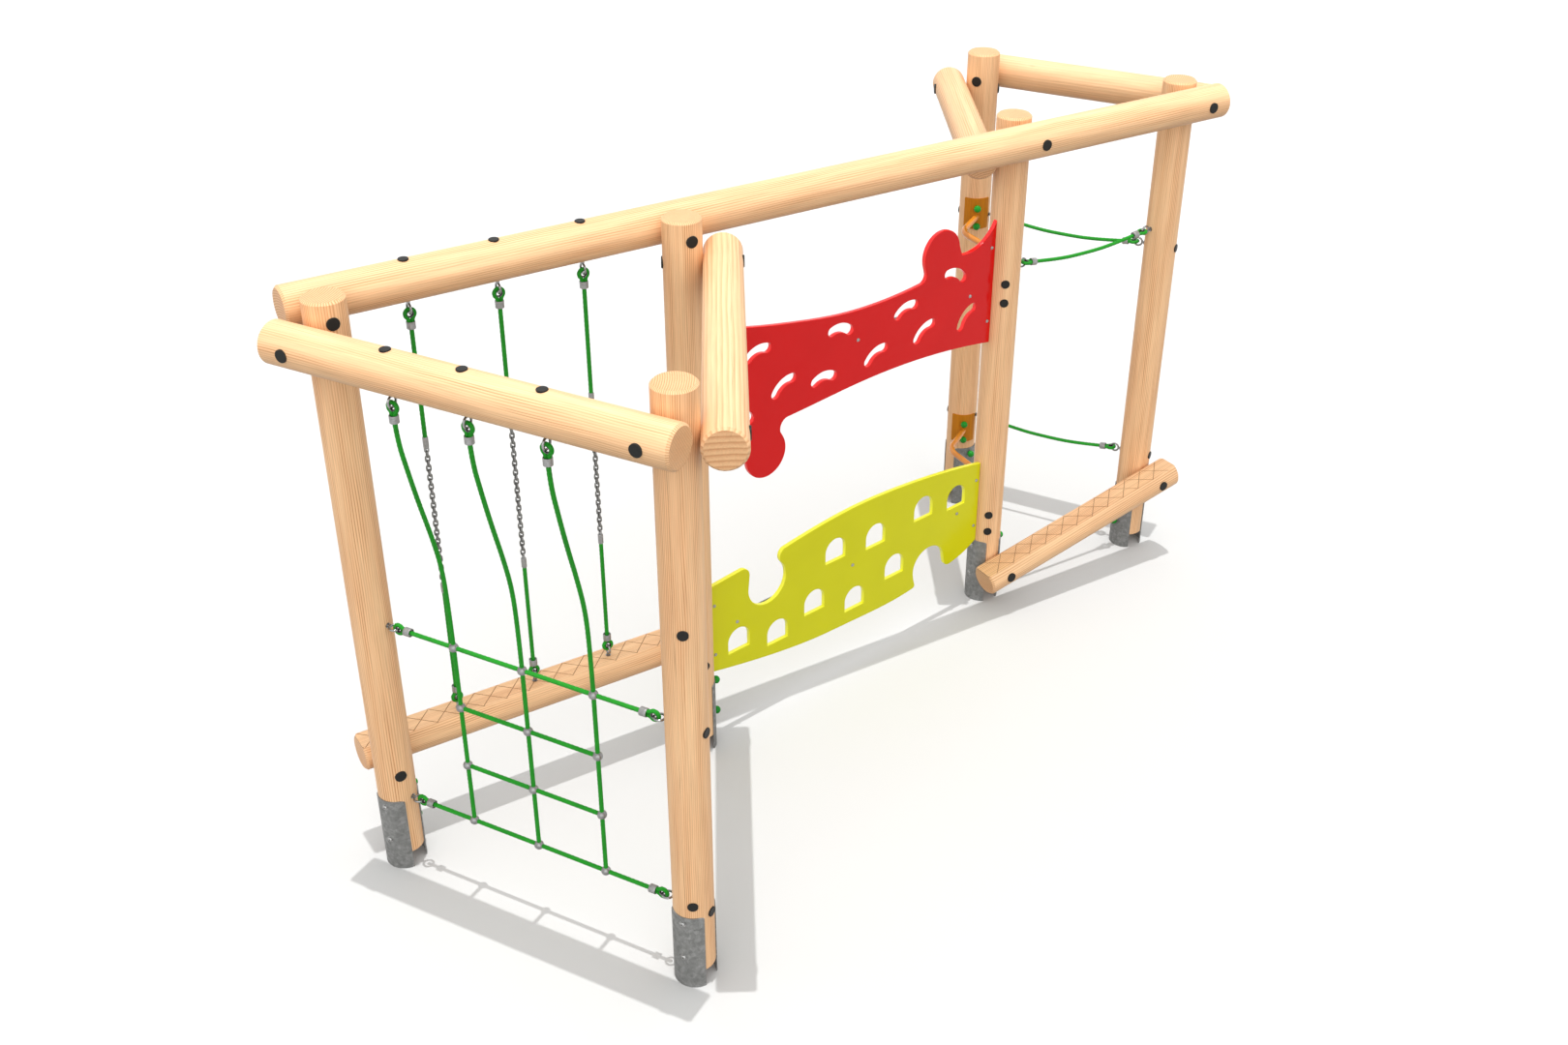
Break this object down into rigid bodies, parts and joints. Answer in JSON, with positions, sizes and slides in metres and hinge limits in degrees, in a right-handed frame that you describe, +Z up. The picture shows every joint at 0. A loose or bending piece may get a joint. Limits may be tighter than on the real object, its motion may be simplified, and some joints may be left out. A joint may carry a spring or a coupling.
{
  "type": "monkey bars",
  "caption": "Log climbing trail: posts in two triangles under top logs, with a rope net, chain lines, balance logs, climbing panels, hand ropes and zigzag bars.",
  "frame": {"origin": "centre of the footprint, on the ground under the steel shoes", "axes": "+X along the long top log towards the smaller triangle, +Y away from the net side, +Z up"},
  "size_m": [4.2361, 2.4937, 2.264],
  "materials": {
    "log_wood": "machined pine logs, stained and oiled",
    "galvanised_steel": "hot-dip galvanised, mottled",
    "zinc_steel": "zinc plated",
    "ferrule_metal": "pressed aluminium",
    "black_cap": "moulded, satin",
    "green_nut": "moulded, glossy",
    "net_ball": "cast, lightly tumbled",
    "green_rope": "twisted synthetic fibre",
    "red_panel": "sheet plastic, fine texture",
    "lime_panel": "sheet plastic, fine texture",
    "orange_steel": "powder coated"
  },
  "bodies": {
    "frame": {"balance_level": "log_wood", "balance_sloped": "log_wood", "ball_nuts": "green_nut", "bar_lower": "orange_steel", "bar_upper": "orange_steel", "beam_ab": "log_wood", "beam_bc": "log_wood", "beam_bolts": "zinc_steel", "beam_caps": "black_cap", "beam_df": "log_wood", "beam_fe": "log_wood", "beam_long": "log_wood", "chain_terminals": "ferrule_metal", "chains": "zinc_steel", "fitting_caps": "black_cap", "line_eyes": "zinc_steel", "line_ropes": "green_rope", "net_balls": "net_ball", "net_columns": "green_rope", "net_drop_1": "green_rope", "net_drop_2": "green_rope", "net_drop_3": "green_rope", "net_eyes": "zinc_steel", "net_rows": "green_rope", "panel_lower": "lime_panel", "panel_lower_rail": "galvanised_steel", "panel_screws": "zinc_steel", "panel_upper": "red_panel", "panel_upper_rail": "galvanised_steel", "post_a": "log_wood", "post_b": "log_wood", "post_c": "log_wood", "post_d": "log_wood", "post_e": "log_wood", "post_f": "log_wood", "rope_end_metal": "ferrule_metal", "rope_eyes": "zinc_steel", "rope_loops": "green_rope", "shoe_a": "galvanised_steel", "shoe_b": "galvanised_steel", "shoe_bolts": "zinc_steel", "shoe_c": "galvanised_steel", "shoe_d": "galvanised_steel", "shoe_e": "galvanised_steel", "shoe_f": "galvanised_steel"},
    "rope_de": {"rope_de_loops": "green_rope", "rope_de_metal": "ferrule_metal", "rope_de_rope": "green_rope"},
    "rope_fe_upper": {"rope_fe_upper_loops": "green_rope", "rope_fe_upper_metal": "ferrule_metal", "rope_fe_upper_rope": "green_rope"},
    "rope_fe_lower": {"rope_fe_lower_loops": "green_rope", "rope_fe_lower_metal": "ferrule_metal", "rope_fe_lower_rope": "green_rope"},
    "rope_bc_upper": {"rope_bc_upper_loops": "green_rope", "rope_bc_upper_metal": "ferrule_metal", "rope_bc_upper_rope": "green_rope"},
    "rope_bc_lower": {"rope_bc_lower_loops": "green_rope", "rope_bc_lower_metal": "ferrule_metal", "rope_bc_lower_rope": "green_rope"}
  },
  "joints": [
    {"name": "rope_de_sway", "type": "hinge", "parent": "frame", "child": "rope_de", "pos_m": [1.112, 0.29822, 1.61], "axis": [1, 0, 0], "range_deg": [-25, 25]},
    {"name": "rope_fe_upper_sway", "type": "hinge", "parent": "frame", "child": "rope_fe_upper", "pos_m": [1.502, 0.97371, 1.52], "axis": [0.5, -0.866, 0], "range_deg": [-25, 25]},
    {"name": "rope_fe_lower_sway", "type": "hinge", "parent": "frame", "child": "rope_fe_lower", "pos_m": [1.502, 0.97371, 0.485], "axis": [0.5, -0.866, 0], "range_deg": [-25, 25]},
    {"name": "rope_bc_upper_sway", "type": "hinge", "parent": "frame", "child": "rope_bc_upper", "pos_m": [-1.217, -0.97371, 1.454], "axis": [0.5, 0.866, 0], "range_deg": [-25, 25]},
    {"name": "rope_bc_lower_sway", "type": "hinge", "parent": "frame", "child": "rope_bc_lower", "pos_m": [-1.217, -0.97371, 0.366], "axis": [0.5, 0.866, 0], "range_deg": [-25, 25]}
  ]
}
